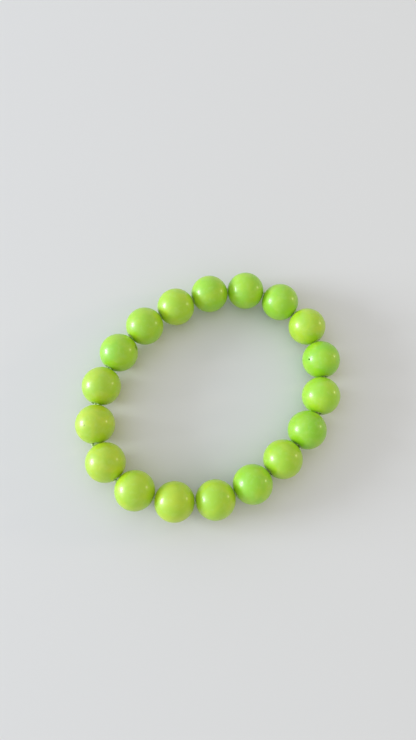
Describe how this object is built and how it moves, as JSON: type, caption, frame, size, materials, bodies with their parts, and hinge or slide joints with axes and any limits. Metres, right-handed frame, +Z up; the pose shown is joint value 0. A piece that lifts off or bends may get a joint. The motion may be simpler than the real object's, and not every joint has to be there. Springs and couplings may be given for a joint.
{
  "type": "stretch bracelet",
  "caption": "Stretch bracelet: a closed loop of glossy round stone beads threaded on one knotted elastic cord, lying flat.",
  "frame": {"origin": "middle of the loop's box, on the surface that the beads rest on", "axes": "+Z up through the loop, along the wrist; +Y along the loop's longer side as it lies"},
  "size_m": [0.0668, 0.0692, 0.01],
  "materials": {
    "bead_green": "polished, saturated green, softly mottled",
    "bead_lime": "polished, lime green, softly mottled",
    "bead_pale": "polished, pale yellow-green, softly mottled",
    "bead_yellow": "polished, yellow-green, softly mottled",
    "elastic_cord": "smooth translucent elastic"
  },
  "bodies": {
    "span_14": {"cord_span_14": "elastic_cord", "cord_knot": "elastic_cord"},
    "span_15": {"cord_span_15": "elastic_cord"},
    "span_16": {"cord_span_16": "elastic_cord"},
    "span_17": {"cord_span_17": "elastic_cord"},
    "span_18": {"cord_span_18": "elastic_cord"},
    "span_01": {"cord_span_01": "elastic_cord"},
    "span_02": {"cord_span_02": "elastic_cord"},
    "span_03": {"cord_span_03": "elastic_cord"},
    "span_04": {"cord_span_04": "elastic_cord"},
    "span_05": {"cord_span_05": "elastic_cord"},
    "span_06": {"cord_span_06": "elastic_cord"},
    "span_07": {"cord_span_07": "elastic_cord"},
    "span_08": {"cord_span_08": "elastic_cord"},
    "span_09": {"cord_span_09": "elastic_cord"},
    "span_10": {"cord_span_10": "elastic_cord"},
    "span_11": {"cord_span_11": "elastic_cord"},
    "span_12": {"cord_span_12": "elastic_cord"},
    "span_13": {"cord_span_13": "elastic_cord"},
    "bead_01": {"bead_01": "bead_lime"},
    "bead_02": {"bead_02": "bead_lime"},
    "bead_03": {"bead_03": "bead_lime"},
    "bead_04": {"bead_04": "bead_pale"},
    "bead_05": {"bead_05": "bead_green"},
    "bead_06": {"bead_06": "bead_pale"},
    "bead_07": {"bead_07": "bead_green"},
    "bead_08": {"bead_08": "bead_pale"},
    "bead_09": {"bead_09": "bead_lime"},
    "bead_10": {"bead_10": "bead_pale"},
    "bead_11": {"bead_11": "bead_pale"},
    "bead_12": {"bead_12": "bead_lime"},
    "bead_13": {"bead_13": "bead_yellow"},
    "bead_14": {"bead_14": "bead_yellow"},
    "bead_15": {"bead_15": "bead_lime"},
    "bead_16": {"bead_16": "bead_green"},
    "bead_17": {"bead_17": "bead_lime"},
    "bead_18": {"bead_18": "bead_lime"}
  },
  "joints": [
    {"name": "stretch_14_15", "type": "slide", "parent": "span_14", "child": "span_15", "axis": [-0.0523, 0.9986, 0], "range_m": [0, 0.003], "stiffness_N_per_m": 700},
    {"name": "stretch_15_16", "type": "slide", "parent": "span_15", "child": "span_16", "axis": [0.2588, 0.9659, 0], "range_m": [0, 0.003], "stiffness_N_per_m": 700},
    {"name": "stretch_16_17", "type": "slide", "parent": "span_16", "child": "span_17", "axis": [0.5225, 0.8526, 0], "range_m": [0, 0.003], "stiffness_N_per_m": 700},
    {"name": "stretch_17_18", "type": "slide", "parent": "span_17", "child": "span_18", "axis": [0.7193, 0.6947, 0], "range_m": [0, 0.003], "stiffness_N_per_m": 700},
    {"name": "stretch_18_01", "type": "slide", "parent": "span_18", "child": "span_01", "axis": [0.8387, 0.5446, 0], "range_m": [0, 0.003], "stiffness_N_per_m": 700},
    {"name": "stretch_01_02", "type": "slide", "parent": "span_01", "child": "span_02", "axis": [0.9613, 0.2756, 0], "range_m": [0, 0.003], "stiffness_N_per_m": 700},
    {"name": "stretch_02_03", "type": "slide", "parent": "span_02", "child": "span_03", "axis": [0.9863, -0.165, 0], "range_m": [0, 0.003], "stiffness_N_per_m": 700},
    {"name": "stretch_03_04", "type": "slide", "parent": "span_03", "child": "span_04", "axis": [0.809, -0.5878, 0], "range_m": [0, 0.003], "stiffness_N_per_m": 700},
    {"name": "stretch_04_05", "type": "slide", "parent": "span_04", "child": "span_05", "axis": [0.4695, -0.8829, 0], "range_m": [0, 0.003], "stiffness_N_per_m": 700},
    {"name": "stretch_05_06", "type": "slide", "parent": "span_05", "child": "span_06", "axis": [0.0872, -0.9962, 0], "range_m": [0, 0.003], "stiffness_N_per_m": 700},
    {"name": "stretch_06_07", "type": "slide", "parent": "span_06", "child": "span_07", "axis": [-0.2756, -0.9613, 0], "range_m": [0, 0.003], "stiffness_N_per_m": 700},
    {"name": "stretch_07_08", "type": "slide", "parent": "span_07", "child": "span_08", "axis": [-0.5373, -0.8434, 0], "range_m": [0, 0.003], "stiffness_N_per_m": 700},
    {"name": "stretch_08_09", "type": "slide", "parent": "span_08", "child": "span_09", "axis": [-0.6756, -0.7373, 0], "range_m": [0, 0.003], "stiffness_N_per_m": 700},
    {"name": "stretch_09_10", "type": "slide", "parent": "span_09", "child": "span_10", "axis": [-0.8572, -0.515, 0], "range_m": [0, 0.003], "stiffness_N_per_m": 700},
    {"name": "stretch_10_11", "type": "slide", "parent": "span_10", "child": "span_11", "axis": [-0.9799, -0.1994, 0], "range_m": [0, 0.003], "stiffness_N_per_m": 700},
    {"name": "stretch_11_12", "type": "slide", "parent": "span_11", "child": "span_12", "axis": [-0.9936, 0.1132, 0], "range_m": [0, 0.003], "stiffness_N_per_m": 700},
    {"name": "stretch_12_13", "type": "slide", "parent": "span_12", "child": "span_13", "axis": [-0.8339, 0.5519, 0], "range_m": [0, 0.003], "stiffness_N_per_m": 700},
    {"name": "spin_01", "type": "hinge", "parent": "span_01", "child": "bead_01", "pos_m": [-0.0049, 0.02685, 0.005], "axis": [0.8829, 0.4695, 0], "continuous": true},
    {"name": "spin_02", "type": "hinge", "parent": "span_02", "child": "bead_02", "pos_m": [0.00477, 0.02962, 0.005], "axis": [0.9976, 0.0698, 0], "continuous": true},
    {"name": "spin_03", "type": "hinge", "parent": "span_03", "child": "bead_03", "pos_m": [0.01469, 0.02796, 0.005], "axis": [0.9205, -0.3907, 0], "continuous": true},
    {"name": "spin_04", "type": "hinge", "parent": "span_04", "child": "bead_04", "pos_m": [0.02283, 0.02204, 0.005], "axis": [0.6561, -0.7547, 0], "continuous": true},
    {"name": "spin_05", "type": "hinge", "parent": "span_05", "child": "bead_05", "pos_m": [0.02756, 0.01316, 0.005], "axis": [0.2588, -0.9659, 0], "continuous": true},
    {"name": "spin_06", "type": "hinge", "parent": "span_06", "child": "bead_06", "pos_m": [0.02843, 0.00314, 0.005], "axis": [-0.0872, -0.9962, 0], "continuous": true},
    {"name": "spin_07", "type": "hinge", "parent": "span_07", "child": "bead_07", "pos_m": [0.02566, -0.00653, 0.005], "axis": [-0.454, -0.891, 0], "continuous": true},
    {"name": "spin_08", "type": "hinge", "parent": "span_08", "child": "bead_08", "pos_m": [0.02025, -0.01501, 0.005], "axis": [-0.6157, -0.788, 0], "continuous": true},
    {"name": "spin_09", "type": "hinge", "parent": "span_09", "child": "bead_09", "pos_m": [0.01346, -0.02243, 0.005], "axis": [-0.7314, -0.682, 0], "continuous": true},
    {"name": "spin_10", "type": "hinge", "parent": "span_10", "child": "bead_10", "pos_m": [0.00483, -0.02761, 0.005], "axis": [-0.9455, -0.3256, 0], "continuous": true},
    {"name": "spin_11", "type": "hinge", "parent": "span_11", "child": "bead_11", "pos_m": [-0.00502, -0.02962, 0.005], "axis": [-0.9976, -0.0698, 0], "continuous": true},
    {"name": "spin_12", "type": "hinge", "parent": "span_12", "child": "bead_12", "pos_m": [-0.01502, -0.02848, 0.005], "axis": [-0.9563, 0.2924, 0], "continuous": true},
    {"name": "spin_13", "type": "hinge", "parent": "span_13", "child": "bead_13", "pos_m": [-0.02341, -0.02293, 0.005], "axis": [-0.6428, 0.766, 0], "continuous": true},
    {"name": "spin_14", "type": "hinge", "parent": "span_14", "child": "bead_14", "pos_m": [-0.02791, -0.01396, 0.005], "axis": [-0.225, 0.9744, 0], "continuous": true},
    {"name": "spin_15", "type": "hinge", "parent": "span_15", "child": "bead_15", "pos_m": [-0.02843, -0.00392, 0.005], "axis": [0.1219, 0.9925, 0], "continuous": true},
    {"name": "spin_16", "type": "hinge", "parent": "span_16", "child": "bead_16", "pos_m": [-0.02583, 0.0058, 0.005], "axis": [0.3907, 0.9205, 0], "continuous": true},
    {"name": "spin_17", "type": "hinge", "parent": "span_17", "child": "bead_17", "pos_m": [-0.02057, 0.01438, 0.005], "axis": [0.6428, 0.766, 0], "continuous": true},
    {"name": "spin_18", "type": "hinge", "parent": "span_18", "child": "bead_18", "pos_m": [-0.01334, 0.02137, 0.005], "axis": [0.788, 0.6157, 0], "continuous": true}
  ],
  "couplings": [
    {"joint": "stretch_15_16", "follows": "stretch_14_15", "ratio": 1},
    {"joint": "stretch_16_17", "follows": "stretch_14_15", "ratio": 1},
    {"joint": "stretch_17_18", "follows": "stretch_14_15", "ratio": 1},
    {"joint": "stretch_18_01", "follows": "stretch_14_15", "ratio": 1},
    {"joint": "stretch_01_02", "follows": "stretch_14_15", "ratio": 1},
    {"joint": "stretch_02_03", "follows": "stretch_14_15", "ratio": 1},
    {"joint": "stretch_03_04", "follows": "stretch_14_15", "ratio": 1},
    {"joint": "stretch_04_05", "follows": "stretch_14_15", "ratio": 1},
    {"joint": "stretch_05_06", "follows": "stretch_14_15", "ratio": 1},
    {"joint": "stretch_06_07", "follows": "stretch_14_15", "ratio": 1},
    {"joint": "stretch_07_08", "follows": "stretch_14_15", "ratio": 1},
    {"joint": "stretch_08_09", "follows": "stretch_14_15", "ratio": 1},
    {"joint": "stretch_09_10", "follows": "stretch_14_15", "ratio": 1},
    {"joint": "stretch_10_11", "follows": "stretch_14_15", "ratio": 1},
    {"joint": "stretch_11_12", "follows": "stretch_14_15", "ratio": 1},
    {"joint": "stretch_12_13", "follows": "stretch_14_15", "ratio": 1}
  ]
}
